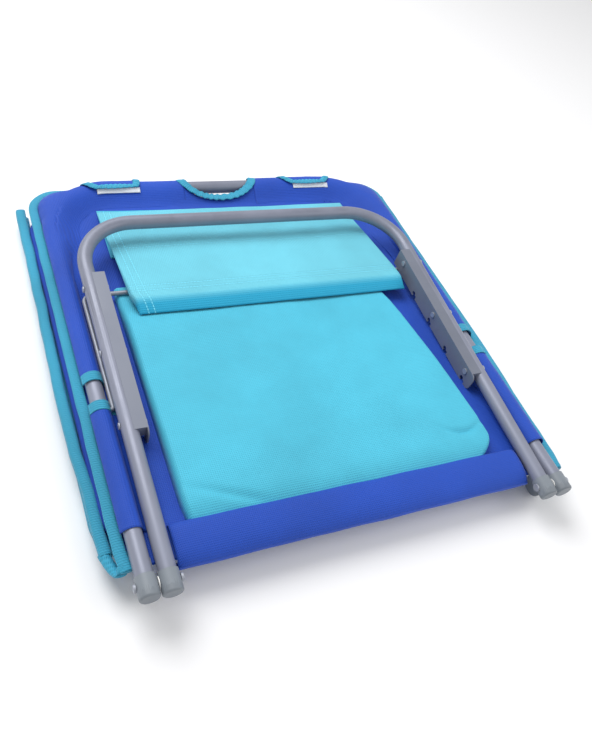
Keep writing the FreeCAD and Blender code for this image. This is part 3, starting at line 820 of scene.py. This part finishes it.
def padded_pad(name, half, low, high, floor, top, body, swap, corner):
    """A thin padded section: a rounded slab, blown up a little as cloth."""
    mesh = bpy.data.meshes.new(name)
    bm = bmesh.new()
    loop = outline(half, low, high, corner)[:-1]
    floor_in, top_in = floor + PAD_INSET, top - PAD_INSET
    lower = [bm.verts.new(at(p.x, p.y, floor_in)) for p in loop]
    upper = [bm.verts.new(at(p.x, p.y, top_in)) for p in loop]
    count = len(loop)
    for n in range(count):
        k = (n + 1) % count
        bm.faces.new((lower[n], lower[k], upper[k], upper[n]))
    bm.faces.new(lower[::-1])
    bm.faces.new(upper)
    bmesh.ops.recalc_face_normals(bm, faces=bm.faces)
    bm.to_mesh(mesh)
    bm.free()
    obj = bpy.data.objects.new(name, mesh)
    bpy.context.scene.collection.objects.link(obj)
    bpy.context.view_layer.objects.active = obj
    remesh = obj.modifiers.new("Grid", "REMESH")
    remesh.mode = "VOXEL"
    remesh.voxel_size = VOXEL
    apply_all(obj)
    inflate(obj, SWELL / 1000)
    for vertex in obj.data.vertices:
        p = vertex.co
        p.z += noise.noise(Vector((p.x * 11, p.y * 11, half))) * 0.0007
        p.z = min(max(p.z, at(0, 0, floor + 0.1).z), at(0, 0, top - 0.1).z)
    obj.data.materials.append(blue)
    obj.data.polygons.foreach_set("use_smooth", [True] * len(obj.data.polygons))
    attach(obj, body)
    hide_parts(swap)


def apply_all(obj):
    """Keep the mesh as its modifiers leave it, and drop the modifiers."""
    graph = bpy.context.evaluated_depsgraph_get()
    done = bpy.data.meshes.new_from_object(obj.evaluated_get(graph))
    obj.modifiers.clear()
    obj.data = done


def inflate(obj, cap):
    """A short cloth run under pressure; no point moves further than the cap."""
    before = [v.co.copy() for v in obj.data.vertices]
    mod = obj.modifiers.new("Cloth", "CLOTH")
    mod.settings.use_pressure = True
    mod.settings.uniform_pressure_force = PRESSURE
    mod.settings.effector_weights.gravity = 0
    scene = bpy.context.scene
    for number in range(1, LAST_FRAME + 1):
        scene.frame_set(number)
    apply_all(obj)
    scene.frame_set(1)
    for vertex, start in zip(obj.data.vertices, before):
        step = vertex.co - start
        if step.length > cap:
            vertex.co = start + step.normalized() * cap


def front_padding():
    """The backrest's own thin pad, cut out at the handle and pinched at its edge."""
    far, notch, deep = 616, 60.0, 34
    loop = outline(281, 34, far, 42, (-notch, notch))
    for n in range(25):
        t = -1 + n / 12
        loop.append(Vector((notch * t, far - deep * (1 - t ** 4), 0)))
    loop = [p for n, p in enumerate(loop) if n == 0 or (p - loop[n - 1]).length > 1e-3]
    along = walk(loop)
    centre = Vector((0, 325, 0))

    def point(u, v):
        rim = along(u)[0]
        t = 2 * v - 1
        inset = abs(t) ** 2 * (rim - centre).length
        p = rim.lerp(centre, abs(t) ** 2)
        full = (1 - (1 - min(1.0, inset / 9)) ** 2.4) ** (1 / 2.4)
        z = -13.2 + math.copysign(2.7 * full, t)
        return (p.x, p.y, z + 0.25 * full * wrinkle(p.x, p.y, 60, 61.0))

    pad = surface("front_padding", point, 260, 56, blue, "backrest",
                  ("front_pad",))
    bm = bmesh.new()
    bm.from_mesh(pad.data)
    bmesh.ops.remove_doubles(bm, verts=bm.verts, dist=1e-5)
    bm.to_mesh(pad.data)
    bm.free()


front_padding()
padded_pad("seat_padding", 290, 56, 590, -30.0, -16.6, "seat", "seat_pad", 40)
padded_pad("leg_padding", 290, 56, 590, -44.4, -30.7, "leg", "leg_pad", 40)

seat_edge = [Vector((-296, 49, 0)), Vector((-298, 75, 0)), Vector((-298.5, 128, 0)),
             Vector((-302.5, 180, 0)), Vector((-304, 264, 0)), Vector((-302, 420, 0)),
             Vector((-301, 597, 0))]
seat_profile = pillow_profile(13, -29.9, -17.0, power=3.4)
band("seat_tape_left", seat_edge, seat_profile, tape, "seat",
     ("seat_binding",), 2.5, soft_edge(41.0, 0.0))
seat_right = mirrored([Vector((p.x - 4, p.y, 0)) for p in seat_edge])
band("seat_tape_right", seat_right, seat_profile, tape, "seat",
     ("seat_binding",), 2.5, soft_edge(43.0, 0.0))


def fold_tape(name, sign):
    """The edge tape that runs round the fold from the backrest to the seat."""
    path = smooth_line([(-279.2, 29, -7.8), (-279.8, 24, -9), (-280.6, 21.5, -13),
                        (-283.4, 26, -18.5), (-287.4, 37, -22), (-291.4, 52, -23.4)])
    heights = [p[2] for p in path]
    flat = [Vector((p[0], p[1], 0)) for p in path]
    further_out = 4.5 if sign > 0 else 0

    def point(u, v):
        k = u * (len(path) - 1)
        n = min(int(k), len(path) - 2)
        p = flat[n].lerp(flat[n + 1], k - n)
        z = lerp(heights[n], heights[n + 1], k - n)
        angle = 2 * math.pi * v
        tall = lerp(3.0, 6.4, u ** 0.7)
        wide = lerp(5.2, 6.4, u)
        x = p.x + wide * math.cos(angle) - further_out
        return (-sign * x, p.y, z + tall * math.sin(angle))

    obj = surface(name, point, 40, 18, tape, None, loop=True,
                  size=(0.04, 0.03), ends=True)
    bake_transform(obj)


fold_tape("fold_tape_left", -1)
fold_tape("fold_tape_right", 1)
leg_edge = [Vector((-298, 597, 0))]
leg_edge += arc(-250, 96, 48, 180, 270)
leg_edge += arc(250, 96, 48, 270, 360)
leg_edge.append(Vector((298, 597, 0)))
band("leg_tape", leg_edge[::-1], pillow_profile(14, -44.4, -31.0, power=3.2), tape,
     "leg", ("leg_binding",), 2.5, soft_edge(47.0, 0.0))


def knee_point(u, v):
    """The rolled cloth hinge between the seat and leg sections."""
    x = -278 + 556 * u
    angle = 2 * math.pi * v
    r = 1.0 + 0.2 * wrinkle(x, 9 * v, 12, 51.0)
    return (x, 600 + r * math.cos(angle), -30.3 + r * math.sin(angle))


surface("knee_cloth", knee_point, 160, 12, blue, "seat", ("knee_fold",),
        loop=True, size=(0.556, 0.008), ends=True)

# -------------------------------------------------- floor, light and camera

floor_mesh = bpy.data.meshes.new("floor")
floor_mesh.from_pydata([(-6, -6, 0), (6, -6, 0), (6, 6, 0), (-6, 6, 0)], [], [(0, 1, 2, 3)])
floor_obj = bpy.data.objects.new("floor", floor_mesh)
bpy.context.scene.collection.objects.link(floor_obj)
floor_obj.location.z = -0.0002
floor_paint = Nodes("pale_floor")
floor_paint.set(Base_Color=(0.93, 0.93, 0.94, 1), Roughness=0.8, Specular_IOR_Level=0.2)
floor_mesh.materials.append(floor_paint.mat)

world = bpy.data.worlds.new("studio")
world.use_nodes = True
world.node_tree.nodes["Background"].inputs[0].default_value = (1.0, 1.0, 1.0, 1)
world.node_tree.nodes["Background"].inputs[1].default_value = 0.62
scene = bpy.context.scene
scene.world = world
scene.view_settings.view_transform = "Standard"


def lamp(name, place, size, power, aim=(0.0, 0.0, 0.03)):
    """A round soft light that points at the middle of the chair."""
    light = bpy.data.lights.new(name, "AREA")
    light.shape = "DISK"
    light.size = size
    light.energy = power
    obj = bpy.data.objects.new(name, light)
    obj.location = place
    obj.rotation_euler = (Vector(aim) - Vector(place)).to_track_quat("-Z", "Y").to_euler()
    scene.collection.objects.link(obj)


lamp("key", (-0.55, 1.0, 1.6), 1.5, 30)
lamp("fill", (1.4, -0.9, 1.3), 1.6, 9)

# The camera stands beyond the hinge end, to the left, and looks down at the folded chair.
look = Vector((0.4080, 0.5507, -0.7282)).normalized()
above = Vector((0.1285, 0.7550, 0.6429))
right = look.cross(above).normalized()
above = right.cross(look).normalized()
camera_data = bpy.data.cameras.new("camera")
camera_data.sensor_width = 36
camera_data.lens = 35.59
camera_data.clip_start = 0.01
camera = bpy.data.objects.new("camera", camera_data)
turn = Matrix((right, above, -look)).transposed().to_4x4()
camera.matrix_world = Matrix.Translation(at(-393.3, -283.0, 682.8)) @ turn
scene.collection.objects.link(camera)
scene.camera = camera
